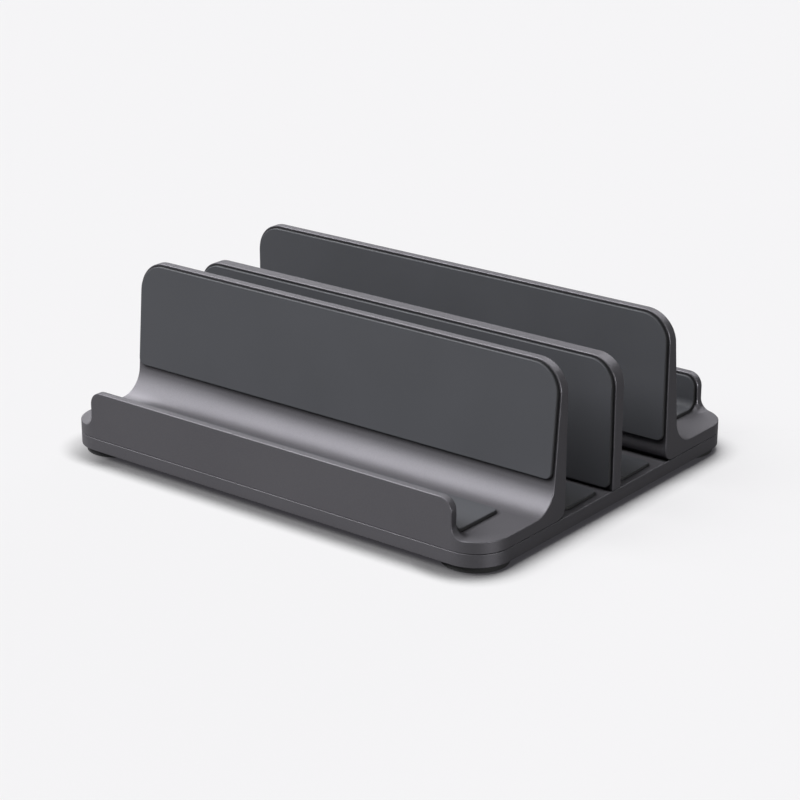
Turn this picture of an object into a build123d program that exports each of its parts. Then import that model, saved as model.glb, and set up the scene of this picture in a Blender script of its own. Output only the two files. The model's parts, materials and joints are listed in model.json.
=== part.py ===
# Vertical stand for two laptops, with a shallow trough for a tablet or phone at the front and the rear.
# Millimetres. X runs along the plates, -Y is the front, Z is up from the desk under the stand's middle.

import os
from math import cos, radians, sin, tan

from build123d import *

# Base plate
length = 190.0
plan_corner_r = 13.3
base_t = 4.9
edge_chamfer = 0.2

# Laptop slots, from metal to metal
slot_width = 28.7

# Front section: lip, trough, cove and tall plate in one extrusion. The rear section mirrors it.
section_depth = 45.6
section_floor_t = 4.3
lip_t = 3.0
lip_height = 13.7
lip_end_r = 5.0
lip_edge_r = 0.4
lip_root_r = 4.2
cove_r = 10.0
tall_plate_height = 55.1
tall_plate_top_t = 3.1
tall_plate_lean = 5.1
tall_corner_r = 11.0
heel_r = 4.5

# Middle plate
middle_plate_t = 5.0
middle_plate_height = 47.8
middle_corner_r = 10.0

# Silicone pads and trough liners
pad_t = 1.2
pad_rim = 1.0
pad_corner_r = 2.5
pad_bevel = 0.2
slot_pad_lift = 8.1
cove_pad_gap = 2.0
liner_gap = 1.4
floor_pad_side_gap = 4.7
floor_pad_end_gap = 3.0

# Rubber feet, round discs stuck under the corners
foot_t = 2.5
foot_inset = 1.8

# Countersunk screws from below, in one row under each upright
screw_r = 1.5
screw_head_r = 2.9
screw_head_sink = 0.2
screw_cone_angle = 90.0
screw_hole_clearance = 0.2
screw_thread_clearance = 0.05
screw_tip_gap = 0.4
socket_across_flats = 2.0
socket_depth = 1.1
socket_sides = 6
screw_cover = 0.9
plate_screw_bite = 8.0
screw_count = 2
screw_rows = 3
screw_foot_setback = 10.2
section_screw_setback = 18.0

# Heights
base_bottom = foot_t
base_top = base_bottom + base_t
trough_floor = base_top + section_floor_t
lip_top = trough_floor + lip_height
tall_top = base_top + tall_plate_height

# Places along the depth
depth = 2 * section_depth + 2 * slot_width + middle_plate_t
front = -depth / 2
lip_inner = front + lip_t
slot_face = front + section_depth
lean = radians(tall_plate_lean)
lean_top = slot_face - tall_plate_top_t
lean_foot = lean_top - (tall_top - trough_floor) * tan(lean)
cove_reach = cove_r / tan((radians(90) + lean) / 2)

# Places along the length
lip_half = length / 2 - plan_corner_r
pad_width = length - 2 * pad_rim

# Feet, concentric with the plan corners
foot_r = plan_corner_r - foot_inset
foot_x = length / 2 - plan_corner_r
foot_y = depth / 2 - plan_corner_r

# Screw rows, which end short of the feet
screw_pitch = 2 * (foot_x - foot_r - screw_foot_setback) / (screw_count - 1)
section_screw_y = front + section_screw_setback
section_screw_bite = section_floor_t - screw_cover - screw_tip_gap

# Below: the desk seen from the stand, for features that open downwards
underside = Plane((0, 0, base_bottom), x_dir=(1, 0, 0), z_dir=(0, 0, -1))
joint_face = Plane((0, 0, base_top), x_dir=(1, 0, 0), z_dir=(0, 0, -1))
touching = 1e-3


def sharp_edges(builder):
    """Outer corners of a part, leaving out hollow corners and smooth seams."""
    return builder.edges().filter_by(lambda edge: not edge.is_interior)


def facing_front(y, z):
    """Upright plane that faces the front, with its origin at the given depth and height."""
    return Plane((0, y, z), x_dir=(1, 0, 0), z_dir=(0, -1, 0))


def facing_rear(y, z):
    """Upright plane that faces the rear, with its origin at the given depth and height."""
    return Plane((0, y, z), x_dir=(-1, 0, 0), z_dir=(0, 1, 0))


def screw_holes(y, bite):
    """Blind holes for one row of screws, up from the top of the base plate."""
    with Locations(joint_face):
        with Locations((0, -y)):
            with GridLocations(screw_pitch, 0, screw_count, 1):
                Hole(screw_r + screw_thread_clearance, bite + screw_tip_gap)


# Base plate, with countersunk holes from below
with BuildPart() as base_plate:
    with BuildSketch(Plane.XY.offset(base_bottom)):
        RectangleRounded(length, depth, plan_corner_r)
    extrude(amount=base_t)
    chamfer(sharp_edges(base_plate), edge_chamfer)
    with Locations(underside):
        with GridLocations(screw_pitch, -section_screw_y, screw_count, screw_rows):
            CounterSinkHole(
                screw_r + screw_hole_clearance,
                screw_head_r + screw_head_sink,
                base_t,
                screw_cone_angle,
            )

# Front section. The lip stands on the trough floor, and one fillet rolls round its foot
with BuildPart() as front_section:
    with BuildSketch(Plane.YZ):
        with BuildLine():
            FilletPolyline(
                (front, base_top),
                (front, trough_floor),
                (lean_foot, trough_floor),
                (lean_top, tall_top),
                (slot_face, tall_top),
                (slot_face, base_top),
                radius=(0, 0, cove_r, 0, 0, heel_r),
                close=True,
            )
        make_face()
    extrude(amount=length / 2, both=True)
    fillet(front_section.edges().filter_by(Axis.Y).group_by(Axis.Z)[-1], tall_corner_r)

    with BuildSketch(facing_front(front, trough_floor)) as lip_face:
        Rectangle(2 * lip_half, lip_height, align=(Align.CENTER, Align.MIN))
        fillet(lip_face.vertices().group_by(Axis.Y)[-1], lip_end_r)
    extrude(amount=-lip_t)

    lip_back = front_section.faces().filter_by(Axis.Y).group_by(Axis.Y)[1].sort_by(Axis.Z)[-1]
    lip_foot_height = lip_back.bounding_box().min.Z + touching
    fillet(lip_back.edges().filter_by(lambda edge: edge.center().Z > lip_foot_height), lip_edge_r)

    floor_edges = front_section.edges().filter_by_position(
        Axis.Z, trough_floor - touching, trough_floor + touching
    )
    lip_foot = floor_edges.filter_by_position(Axis.Y, front + touching, lip_inner + touching)
    fillet(lip_foot.filter_by(lambda edge: abs(edge.center().X) < lip_half + touching), lip_root_r)

    with BuildSketch(Plane.XY.offset(base_top)):
        RectangleRounded(length, depth, plan_corner_r)
    extrude(amount=tall_plate_height, mode=Mode.INTERSECT)
    chamfer(sharp_edges(front_section), edge_chamfer)
    screw_holes(section_screw_y, section_screw_bite)

with BuildPart() as rear_section:
    mirror(front_section.part, about=Plane.XZ)

# Middle plate, upright on the base plate
with BuildPart() as middle_plate:
    with BuildSketch(facing_front(-middle_plate_t / 2, base_top)) as plate_face:
        Rectangle(length, middle_plate_height, align=(Align.CENTER, Align.MIN))
        fillet(plate_face.vertices().group_by(Axis.Y)[-1], middle_corner_r)
    extrude(amount=-middle_plate_t)
    chamfer(sharp_edges(middle_plate), edge_chamfer)
    screw_holes(0, plate_screw_bite)


def flat_pad(plane, width, height, top_r):
    """Flat pad on a plane, up from the plane's origin, with its proud rim bevelled."""
    with BuildPart() as pad:
        with BuildSketch(plane) as outline:
            Rectangle(width, height, align=(Align.CENTER, Align.MIN))
            fillet(outline.vertices().group_by(Axis.Y)[-1], top_r)
            fillet(outline.vertices().group_by(Axis.Y)[0], pad_corner_r)
        extrude(amount=pad_t)
        proud_face = pad.faces().sort_by(Axis(plane.origin, plane.z_dir))[-1]
        chamfer(proud_face.edges(), pad_bevel)
    return pad.part


# Pads on the leaning outer face and the upright slot face of the front section's tall plate
lean_pad_start = cove_reach + cove_pad_gap
lean_pad_plane = Plane(
    (0, lean_foot + lean_pad_start * sin(lean), trough_floor + lean_pad_start * cos(lean)),
    x_dir=(1, 0, 0),
    z_dir=(0, -cos(lean), sin(lean)),
)
lean_pad_height = (tall_top - trough_floor) / cos(lean) - lean_pad_start - pad_rim
tall_pad_r = tall_corner_r - pad_rim
front_plate_pad = flat_pad(lean_pad_plane, pad_width, lean_pad_height, tall_pad_r)

slot_pad_plane = facing_rear(slot_face, base_top + slot_pad_lift)
slot_pad_height = tall_plate_height - slot_pad_lift - pad_rim
slot_1_front_pad = flat_pad(slot_pad_plane, pad_width, slot_pad_height, tall_pad_r)

# Pad on the middle plate's front face
middle_pad_plane = facing_front(-middle_plate_t / 2, base_top + pad_rim)
middle_pad_height = middle_plate_height - 2 * pad_rim
slot_1_rear_pad = flat_pad(middle_pad_plane, pad_width, middle_pad_height, middle_corner_r - pad_rim)

# Strip on the floor of the first slot
floor_pad_width = slot_width - 2 * floor_pad_side_gap
floor_pad_plane = Plane.XY.move(Location((0, slot_face + floor_pad_side_gap, base_top)))
floor_pad_length = length - 2 * floor_pad_end_gap
slot_1_floor_pad = flat_pad(floor_pad_plane, floor_pad_length, floor_pad_width, pad_corner_r)

# Trough liner, J-shaped in section: over the trough floor and up the lip
liner_end = lean_foot - cove_reach - liner_gap
liner_top = lip_top - pad_rim
liner_face_y = lip_inner + pad_t
liner_face_z = trough_floor + pad_t
bend_y = lip_inner + lip_root_r
bend_z = trough_floor + lip_root_r


def on_liner_face(edge):
    """True for an edge of the side that shows, beyond the bend. Its bevel runs on round the bend."""
    middle = edge.position_at(0.5)
    beyond_bend = middle.Y > bend_y or middle.Z > bend_z
    return beyond_bend and middle.Y > liner_face_y - touching and middle.Z > liner_face_z - touching


with BuildPart() as front_trough_liner:
    with BuildSketch(Plane.YZ):
        with BuildLine():
            FilletPolyline(
                (lip_inner, liner_top),
                (lip_inner, trough_floor),
                (liner_end, trough_floor),
                (liner_end, liner_face_z),
                (liner_face_y, liner_face_z),
                (liner_face_y, liner_top),
                radius=(0, lip_root_r, 0, 0, lip_root_r - pad_t, 0),
                close=True,
            )
        make_face()
    extrude(amount=lip_half - pad_rim, both=True)
    fillet(front_trough_liner.edges().filter_by(Axis.Y).group_by(Axis.Z)[-1], lip_end_r - pad_rim)
    fillet(front_trough_liner.edges().filter_by(Axis.Z).group_by(Axis.Y)[-1], pad_corner_r)
    chamfer(sharp_edges(front_trough_liner).filter_by(on_liner_face), pad_bevel)


def mirrored(piece):
    """The same piece on the other side of the middle plate."""
    with BuildPart() as other:
        mirror(piece, about=Plane.XZ)
    return other.part


def foot(x, y):
    """Round rubber foot between the desk and the base plate."""
    with BuildPart() as disc:
        with BuildSketch():
            with Locations((x, y)):
                Circle(foot_r)
        extrude(amount=foot_t)
    return disc.part


def screw_row(y, bite):
    """One row of countersunk screws with hexagon sockets."""
    head_z = base_bottom + screw_head_sink
    cone_height = (screw_head_r - screw_r) / tan(radians(screw_cone_angle / 2))
    with BuildPart() as screw:
        with BuildSketch(Plane.XZ):
            with BuildLine():
                Polyline(
                    (0, head_z),
                    (screw_head_r, head_z),
                    (screw_r, head_z + cone_height),
                    (screw_r, base_top + bite),
                    (0, base_top + bite),
                    close=True,
                )
            make_face()
        revolve(axis=Axis.Z)
        with BuildSketch(Plane.XY.offset(head_z)):
            RegularPolygon(socket_across_flats / 2, socket_sides, major_radius=False)
        extrude(amount=socket_depth, mode=Mode.SUBTRACT)
    with BuildPart() as row:
        with Locations((0, y)):
            with GridLocations(screw_pitch, 0, screw_count, 1):
                add(screw.part)
    return row.part


pieces = {
    "base_plate": base_plate.part,
    "front_section": front_section.part,
    "middle_plate": middle_plate.part,
    "rear_section": rear_section.part,
    "front_plate_pad": front_plate_pad,
    "rear_plate_pad": mirrored(front_plate_pad),
    "slot_1_front_pad": slot_1_front_pad,
    "slot_1_rear_pad": slot_1_rear_pad,
    "slot_2_front_pad": mirrored(slot_1_rear_pad),
    "slot_2_rear_pad": mirrored(slot_1_front_pad),
    "slot_1_floor_pad": slot_1_floor_pad,
    "slot_2_floor_pad": mirrored(slot_1_floor_pad),
    "front_trough_liner": front_trough_liner.part,
    "rear_trough_liner": mirrored(front_trough_liner.part),
    "foot_front_left": foot(-foot_x, -foot_y),
    "foot_front_right": foot(foot_x, -foot_y),
    "foot_rear_left": foot(-foot_x, foot_y),
    "foot_rear_right": foot(foot_x, foot_y),
    "front_section_screws": screw_row(section_screw_y, section_screw_bite),
    "middle_plate_screws": screw_row(0, plate_screw_bite),
    "rear_section_screws": screw_row(-section_screw_y, section_screw_bite),
}

os.makedirs("parts", exist_ok=True)
for name, piece in pieces.items():
    piece.label = name
    export_step(piece, f"parts/{name}.step")
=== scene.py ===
import json
from math import cos, pi, radians, sin, tan

import bpy
from mathutils import Matrix, Vector


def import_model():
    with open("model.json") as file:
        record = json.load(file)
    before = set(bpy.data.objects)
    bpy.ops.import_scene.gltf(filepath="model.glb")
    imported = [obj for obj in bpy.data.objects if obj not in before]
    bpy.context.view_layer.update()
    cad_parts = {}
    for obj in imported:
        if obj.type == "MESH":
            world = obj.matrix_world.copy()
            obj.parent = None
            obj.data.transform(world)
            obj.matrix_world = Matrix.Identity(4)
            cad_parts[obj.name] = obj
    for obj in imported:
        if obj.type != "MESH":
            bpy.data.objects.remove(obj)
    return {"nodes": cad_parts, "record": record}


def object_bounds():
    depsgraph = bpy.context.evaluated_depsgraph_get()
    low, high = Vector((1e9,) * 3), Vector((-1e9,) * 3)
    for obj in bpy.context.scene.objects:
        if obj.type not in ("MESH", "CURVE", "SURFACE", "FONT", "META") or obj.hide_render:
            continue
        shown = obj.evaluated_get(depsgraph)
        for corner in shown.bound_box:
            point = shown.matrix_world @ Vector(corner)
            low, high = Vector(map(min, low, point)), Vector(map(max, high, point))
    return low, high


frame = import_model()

cad_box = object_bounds()

# Lengths below are in metres, and angles in degrees. Azimuth 0 is the front, and it grows to the right

# Camera, solved from the photograph's vanishing lines and known edges
camera_azimuth = 38.25
camera_elevation = 20.30
camera_distance = 0.79925
camera_target = Vector((0.02785, -0.03507, 0.03498))
camera_lens_mm = 104.2
camera_sensor_mm = 36.0
camera_near = 0.01
camera_far = 100.0

# Light. A level of 1 is the light at which a colour that faces it renders as it is written
key_azimuth = -55.0
key_elevation = 45.0
key_width = 40.0
key_level = 0.75
front_azimuth = -25.0
front_elevation = 55.0
front_width = 50.0
front_level = 0.78
back_azimuth = -165.0
back_elevation = 10.0
back_width = 24.0
back_level = 0.42
backdrop_color = (1, 1, 1, 1)
backdrop_white = 0.92
world_fill = 0.05

# Softboxes that only reflections show: an arch at the front left, two behind and one at the right
box_distance = 12.0
arch_skew = -37.0
arch_start = 15.0
arch_stop = 98.0
arch_width = 4.5
arch_radiance = (8.8, 9.8, 6.4, 11.5, 16.0)
rear_azimuth = -123.5
rear_elevation = 48.0
rear_length = 7.0
rear_width = 7.0
rear_radiance = 16.0
shoulder_azimuth = 178.0
shoulder_elevation = 42.0
shoulder_length = 8.0
shoulder_width = 5.0
shoulder_radiance = 9.0
right_azimuth = 82.0
right_elevation = 4.9
right_length = 8.0
right_width = 2.0
right_radiance = 95.0
along = Vector((1, 0, 0))
across = Vector((0, 1, 0))

# Patterns. A noise's middle values, from noise_low to noise_high, are spread over a range
noise_low = 0.3
noise_high = 0.7
cloud_detail = 2.0
grain_detail = 3.0
dust_detail = 4.0
bevel_samples = 6
edge_full_cosine = 0.75
edge_none_cosine = 0.99
# Painted shade, which darkens the colour in seams and inner corners within a reach
painted_shade_samples = 4
painted_shade_reach = 0.002

# Anodised aluminium
dye_dark = (0.09, 0.0875, 0.0965)
dye_pale = (0.097, 0.0945, 0.1035)
dye_grain = (0.13, 0.126, 0.137)
dye_cloud = 0.04
grain_share = 0.5
blast_grain = 0.00025
blast_depth = 0.00002
blast_strength = 0.25
metal_roughness_low = 0.36
metal_roughness_high = 0.44
metal_metallic = 0.22
metal_specular = 0.0
# Colour of the painted shade in the metal's seams and inner corners
metal_painted_shade = (0.02, 0.0195, 0.021)
# Edges painted paler in patches, partly as wear and partly as a painted highlight
edge_wear_and_highlight = (0.17, 0.165, 0.178)
edge_width = 0.00015
wear_and_highlight_patch = 0.012
wear_and_highlight_low = 0.08
wear_and_highlight_high = 0.2
# Where the painted seam shade is full and where it is gone, on the uprights and on the base
upright_painted_shade_full = 0.65
upright_painted_shade_none = 1.0
base_painted_shade_full = 0.35
base_painted_shade_none = 0.85

# Silicone
silicone_dark = (0.068, 0.07, 0.078)
silicone_pale = (0.074, 0.076, 0.085)
silicone_dust = 0.03
silicone_grain = 0.0004
silicone_depth = 0.00003
silicone_strength = 0.3
silicone_roughness_low = 0.58
silicone_roughness_high = 0.7
silicone_specular = 0.1
silicone_edge = 0.0002
# Colour of the painted shade in the silicone's seams, and where it is full and gone
silicone_painted_shade = (0.012, 0.0125, 0.014)
silicone_painted_shade_full = 0.65
silicone_painted_shade_none = 1.0

# Feet
foot_dark = (0.045, 0.045, 0.047)
foot_pale = (0.062, 0.062, 0.065)
foot_grain = 0.0005
foot_depth = 0.00005
foot_strength = 0.4
foot_roughness_low = 0.7
foot_roughness_high = 0.85
foot_specular = 0.1

# Screws
steel_dark = (0.4, 0.4, 0.41)
steel_pale = (0.48, 0.48, 0.49)
steel_cloud = 0.0012
steel_grain = 0.0003
steel_depth = 0.00001
steel_strength = 0.2
steel_roughness_low = 0.28
steel_roughness_high = 0.42
steel_metallic = 1.0

# Floor. Its white darkens into a painted shadow close to the stand, and less so at the stand's left end
floor_size = 60.0
floor_color = (0.1, 0.1, 0.1, 1)
floor_glow = 0.79
floor_white = (0.995, 0.989, 1.005)
floor_painted_shadow = (0.05, 0.0485, 0.0545)
floor_shade_reach = 0.01
floor_shade_full = 0.58
floor_shade_none = 0.95
floor_shade_lean = 20.0
floor_shade_turn = 25.0
floor_shade_samples = 8
floor_left_light = 0.6
floor_left_reach = 0.02


def direction(azimuth, elevation):
    """Unit vector towards a point of the sky."""
    a = radians(azimuth)
    e = radians(elevation)
    return Vector((sin(a) * cos(e), -cos(a) * cos(e), sin(e)))


def place(name, data):
    """New object in the scene that holds a mesh, a lamp or a camera."""
    made = bpy.data.objects.new(name, data)
    bpy.context.scene.collection.objects.link(made)
    return made


class Nodes:
    """Short way to add and link the nodes of one node tree."""

    def __init__(self, tree):
        self.tree = tree
        tree.nodes.clear()

    def add(self, kind):
        return self.tree.nodes.new(kind)

    def put(self, node, name, value):
        """Sets an input of a node, by its name or its place, to a value or to another node's output."""
        socket = node.inputs[name]
        if isinstance(value, bpy.types.NodeSocket):
            self.tree.links.new(value, socket)
        else:
            socket.default_value = value

    def math(self, operation, one, other):
        """Result of a sum, product or the like of two values."""
        made = self.add("ShaderNodeMath")
        made.operation = operation
        self.put(made, 0, one)
        self.put(made, 1, other)
        return made.outputs[0]

    def noise(self, size, detail):
        """Cloudy pattern on the part itself, with spots about as large as the size in metres."""
        spot = self.add("ShaderNodeTexCoord")
        made = self.add("ShaderNodeTexNoise")
        self.put(made, "Vector", spot.outputs["Object"])
        self.put(made, "Scale", 1 / size)
        self.put(made, "Detail", detail)
        return made.outputs["Fac"]

    def spread(self, value, low, high, start=noise_low, stop=noise_high):
        """Value that goes from low to high as another goes from start to stop, and no further."""
        made = self.add("ShaderNodeMapRange")
        self.put(made, "Value", value)
        self.put(made, "From Min", start)
        self.put(made, "From Max", stop)
        self.put(made, "To Min", low)
        self.put(made, "To Max", high)
        return made.outputs["Result"]

    def blend(self, share, one, other):
        """Colour between two colours."""
        made = self.add("ShaderNodeMix")
        made.data_type = "RGBA"
        self.put(made, 0, share)
        for socket, color in ((6, one), (7, other)):
            self.put(made, socket, color if isinstance(color, bpy.types.NodeSocket) else (*color, 1))
        return made.outputs[2]

    def rounded(self, width):
        """Normal of a surface whose edges are rounded off over a width in metres."""
        made = self.add("ShaderNodeBevel")
        made.samples = bevel_samples
        self.put(made, "Radius", width)
        return made.outputs["Normal"]

    def edges(self, rounded):
        """Pattern that is 1 on the edges that a rounded normal goes round, and 0 away from them."""
        flat = self.add("ShaderNodeNewGeometry")
        agree = self.add("ShaderNodeVectorMath")
        agree.operation = "DOT_PRODUCT"
        self.put(agree, 0, rounded)
        self.put(agree, 1, flat.outputs["Normal"])
        return self.spread(agree.outputs["Value"], 1, 0, edge_full_cosine, edge_none_cosine)

    def painted_seam_shade(self, full, none):
        """Painted shade: pattern that is 1 in the open and falls to 0 in seams and inner corners, where
        shade falls.
        """
        made = self.add("ShaderNodeAmbientOcclusion")
        made.samples = painted_shade_samples
        self.put(made, "Distance", painted_shade_reach)
        return self.spread(made.outputs["AO"], 0, 1, full, none)

    def bump(self, height, depth, strength, normal=None):
        """Normal of a surface with relief of the depth in metres, on top of another normal."""
        made = self.add("ShaderNodeBump")
        self.put(made, "Height", height)
        self.put(made, "Distance", depth)
        self.put(made, "Strength", strength)
        if normal:
            self.put(made, "Normal", normal)
        return made.outputs["Normal"]

    def seen_level(self, unseen, seen):
        """One level for camera, glossy and transmission rays, and another for the rest."""
        path = self.add("ShaderNodeLightPath")
        rays = path.outputs["Is Camera Ray"]
        for name in ("Is Glossy Ray", "Is Transmission Ray"):
            rays = self.math("MAXIMUM", rays, path.outputs[name])
        return self.spread(rays, unseen, seen, 0, 1)

    def finish(self, shader):
        """Makes a shader the surface of the material."""
        output = self.add("ShaderNodeOutputMaterial")
        self.put(output, "Surface", shader.outputs[0])


def material(name):
    """New material and its empty node tree."""
    made = bpy.data.materials.new(name)
    made.use_nodes = True
    return made, Nodes(made.node_tree)


def principled(name):
    """New material, its nodes and the one shader that is its surface."""
    made, nodes = material(name)
    shader = nodes.add("ShaderNodeBsdfPrincipled")
    nodes.finish(shader)
    return made, nodes, shader


def anodised_aluminium(name, painted_shade_full, painted_shade_none):
    """Dark grey anodised metal over a fine blast, with painted shade in its seams and inner corners,
    and edges painted paler, partly as wear and partly as a painted highlight.
    """
    made, nodes, shader = principled(name)
    blast = nodes.noise(blast_grain, grain_detail)
    cloud = nodes.noise(dye_cloud, cloud_detail)
    dyed = nodes.blend(nodes.spread(cloud, 0, 1), dye_dark, dye_pale)
    grainy = nodes.blend(nodes.spread(blast, 0, grain_share), dyed, dye_grain)
    rounded = nodes.rounded(edge_width)
    # Edges painted paler in patches, partly wear and partly a painted highlight
    wear_and_highlight = nodes.spread(nodes.noise(wear_and_highlight_patch, cloud_detail), wear_and_highlight_low, wear_and_highlight_high)
    edge = nodes.math("MULTIPLY", nodes.edges(rounded), wear_and_highlight)
    bright = nodes.blend(edge, grainy, edge_wear_and_highlight)
    # Painted shade darkens the colour in seams and inner corners
    nodes.put(shader, "Base Color", nodes.blend(nodes.painted_seam_shade(painted_shade_full, painted_shade_none), metal_painted_shade, bright))
    nodes.put(shader, "Roughness", nodes.spread(blast, metal_roughness_low, metal_roughness_high))
    nodes.put(shader, "Normal", nodes.bump(blast, blast_depth, blast_strength, rounded))
    nodes.put(shader, "Metallic", metal_metallic)
    nodes.put(shader, "Specular IOR Level", metal_specular)
    return made


def silicone():
    """Matt dark silicone with a fine moulded grain, a few paler, dustier patches and painted shade in
    its seams.
    """
    made, nodes, shader = principled("silicone")
    grain = nodes.noise(silicone_grain, grain_detail)
    dust = nodes.noise(silicone_dust, dust_detail)
    rounded = nodes.rounded(silicone_edge)
    face = nodes.blend(nodes.spread(dust, 0, 1), silicone_dark, silicone_pale)
    # Painted shade in the seams
    painted_seam_shade = nodes.painted_seam_shade(silicone_painted_shade_full, silicone_painted_shade_none)
    nodes.put(shader, "Base Color", nodes.blend(painted_seam_shade, silicone_painted_shade, face))
    nodes.put(shader, "Roughness", nodes.spread(dust, silicone_roughness_low, silicone_roughness_high))
    nodes.put(shader, "Normal", nodes.bump(grain, silicone_depth, silicone_strength, rounded))
    nodes.put(shader, "Specular IOR Level", silicone_specular)
    return made


def foot_rubber():
    """Very dark grey rubber, rough from its mould."""
    made, nodes, shader = principled("foot_rubber")
    grain = nodes.noise(foot_grain, grain_detail)
    nodes.put(shader, "Base Color", nodes.blend(nodes.spread(grain, 0, 1), foot_dark, foot_pale))
    nodes.put(shader, "Roughness", nodes.spread(grain, foot_roughness_low, foot_roughness_high))
    nodes.put(shader, "Normal", nodes.bump(grain, foot_depth, foot_strength))
    nodes.put(shader, "Specular IOR Level", foot_specular)
    return made


def screw_steel():
    """Zinc-plated steel with faint cloudy passivation."""
    made, nodes, shader = principled("screw_steel")
    cloud = nodes.noise(steel_cloud, grain_detail)
    grain = nodes.noise(steel_grain, cloud_detail)
    nodes.put(shader, "Base Color", nodes.blend(nodes.spread(cloud, 0, 1), steel_dark, steel_pale))
    nodes.put(shader, "Roughness", nodes.spread(cloud, steel_roughness_low, steel_roughness_high))
    nodes.put(shader, "Normal", nodes.bump(grain, steel_depth, steel_strength))
    nodes.put(shader, "Metallic", steel_metallic)
    return made


def dress_nodes():
    """Gives each CAD node the finish of its material slot in the record. The base's painted seam shade
    is paler.
    """
    upright_metal = anodised_aluminium("anodised_aluminium", upright_painted_shade_full, upright_painted_shade_none)
    base_metal = anodised_aluminium("anodised_base", base_painted_shade_full, base_painted_shade_none)
    finishes = {
        "anodised_aluminium": upright_metal,
        "silicone": silicone(),
        "foot_rubber": foot_rubber(),
        "screw_steel": screw_steel(),
    }
    for subpart in frame["record"]["subparts"]:
        node = frame["nodes"][subpart["node"]]
        finish = base_metal if subpart["node"] == "base_plate" else finishes[subpart["material_slot"]]
        node.data.materials.clear()
        node.data.materials.append(finish)


def floor_shade(nodes):
    """Painted shadow: pattern that is 1 on the open floor and falls close to the stand, most of all in
    front of it.
    """
    away = sin(radians(floor_shade_lean))
    leaning = nodes.add("ShaderNodeCombineXYZ")
    nodes.put(leaning, "X", away * sin(radians(floor_shade_turn)))
    nodes.put(leaning, "Y", away * cos(radians(floor_shade_turn)))
    nodes.put(leaning, "Z", cos(radians(floor_shade_lean)))
    nearby = nodes.add("ShaderNodeAmbientOcclusion")
    nearby.samples = floor_shade_samples
    nodes.put(nearby, "Distance", floor_shade_reach)
    nodes.put(nearby, "Normal", leaning.outputs["Vector"])
    spot = nodes.add("ShaderNodeNewGeometry")
    parts = nodes.add("ShaderNodeSeparateXYZ")
    nodes.put(parts, "Vector", spot.outputs["Position"])
    left = cad_box[0][0]
    darkest = nodes.spread(parts.outputs["X"], floor_left_light, 0, left, left + floor_left_reach)
    return nodes.spread(nearby.outputs["AO"], darkest, 1, floor_shade_full, floor_shade_none)


def floor_finish():
    """Pale floor. Most of its white is its own, which only the camera and reflections see, with a
    painted shadow close to the stand.
    """
    made, nodes = material("floor")
    matt = nodes.add("ShaderNodeBsdfDiffuse")
    nodes.put(matt, "Color", floor_color)
    glow = nodes.add("ShaderNodeEmission")
    nodes.put(glow, "Color", nodes.blend(floor_shade(nodes), floor_painted_shadow, floor_white))
    nodes.put(glow, "Strength", nodes.seen_level(0, floor_glow))
    both = nodes.add("ShaderNodeAddShader")
    nodes.put(both, 0, matt.outputs["BSDF"])
    nodes.put(both, 1, glow.outputs["Emission"])
    nodes.finish(both)
    return made


def floor():
    """Wide flat floor under the stand."""
    half = floor_size / 2
    corners = [(-half, -half, 0), (half, -half, 0), (half, half, 0), (-half, half, 0)]
    mesh = bpy.data.meshes.new("floor")
    mesh.from_pydata(corners, [], [(0, 1, 2, 3)])
    mesh.materials.append(floor_finish())
    plane = place("floor", mesh)


def world():
    """White to the camera and in reflections, and a plain fill for the rest."""
    made = bpy.data.worlds.new("studio")
    made.use_nodes = True
    bpy.context.scene.world = made
    nodes = Nodes(made.node_tree)
    shade = nodes.add("ShaderNodeBackground")
    nodes.put(shade, "Color", backdrop_color)
    nodes.put(shade, "Strength", nodes.seen_level(world_fill, backdrop_white))
    output = nodes.add("ShaderNodeOutputWorld")
    nodes.put(output, "Surface", shade.outputs["Background"])


def soft_fill(name, azimuth, elevation, width, level, reflected=True):
    """Broad light from far away, which reflections may leave out."""
    lamp = bpy.data.lights.new(name, "SUN")
    lamp.angle = radians(width)
    lamp.energy = level * pi
    towards = direction(azimuth, elevation)
    sun = place(name, lamp)
    sun.location = towards
    sun.rotation_euler = (-towards).to_track_quat("-Z", "Y").to_euler()
    sun.visible_glossy = reflected


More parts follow.
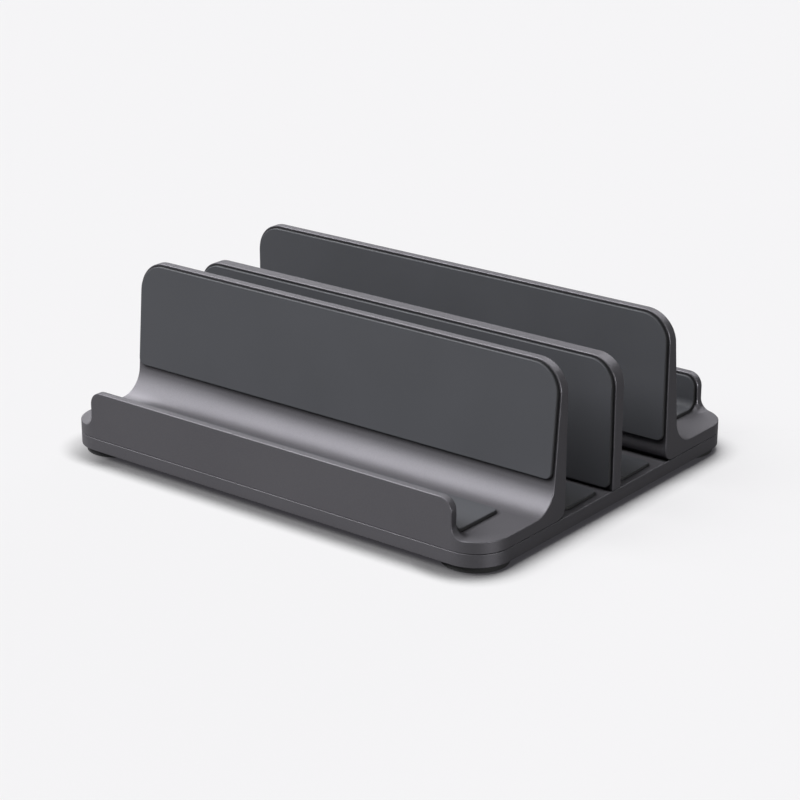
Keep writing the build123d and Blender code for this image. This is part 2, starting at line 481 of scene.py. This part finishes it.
def softbox(name, towards, length, width, run, radiance):
    """Far softbox that faces the stand, its length along run. Only reflections show it."""
    lamp = bpy.data.lights.new(name, "AREA")
    lamp.shape = "RECTANGLE"
    lamp.size = length
    lamp.size_y = width
    lamp.energy = radiance * pi * length * width
    side = (run - towards * run.dot(towards)).normalized()
    box = place(name, lamp)
    box.matrix_world = Matrix((side, towards.cross(side), towards)).transposed().to_4x4()
    box.location = towards * box_distance
    box.visible_diffuse = False


def arch():
    """Arch of softboxes about the X axis, from low at the front left to overhead."""
    skew = radians(arch_skew)
    step = radians(arch_stop - arch_start) / (len(arch_radiance) - 1)
    length = 2 * box_distance * cos(skew) * tan(step / 2)
    for number, radiance in enumerate(arch_radiance):
        rise = radians(arch_start) + number * step
        towards = Vector((sin(skew), -cos(skew) * cos(rise), cos(skew) * sin(rise)))
        run = Vector((0, sin(rise), cos(rise)))
        softbox(f"arch_{number + 1}", towards, length, arch_width, run, radiance)


def camera():
    """Camera at the photograph's angle."""
    lens = bpy.data.cameras.new("camera")
    lens.lens = camera_lens_mm
    lens.sensor_width = camera_sensor_mm
    lens.clip_start = camera_near
    lens.clip_end = camera_far
    towards = direction(camera_azimuth, camera_elevation)
    eye = place("camera", lens)
    eye.location = camera_target + towards * camera_distance
    eye.rotation_euler = (-towards).to_track_quat("-Z", "Y").to_euler()
    bpy.context.scene.camera = eye


bpy.context.scene.view_settings.view_transform = "Standard"
dress_nodes()
floor()
world()
soft_fill("key", key_azimuth, key_elevation, key_width, key_level)
soft_fill("front_fill", front_azimuth, front_elevation, front_width, front_level)
soft_fill("back_fill", back_azimuth, back_elevation, back_width, back_level, reflected=False)
arch()
rear = direction(rear_azimuth, rear_elevation)
softbox("rear_box", rear, rear_length, rear_width, across, rear_radiance)
shoulder = direction(shoulder_azimuth, shoulder_elevation)
softbox("shoulder_box", shoulder, shoulder_length, shoulder_width, along, shoulder_radiance)
right = direction(right_azimuth, right_elevation)
softbox("right_box", right, right_length, right_width, across, right_radiance)
camera()
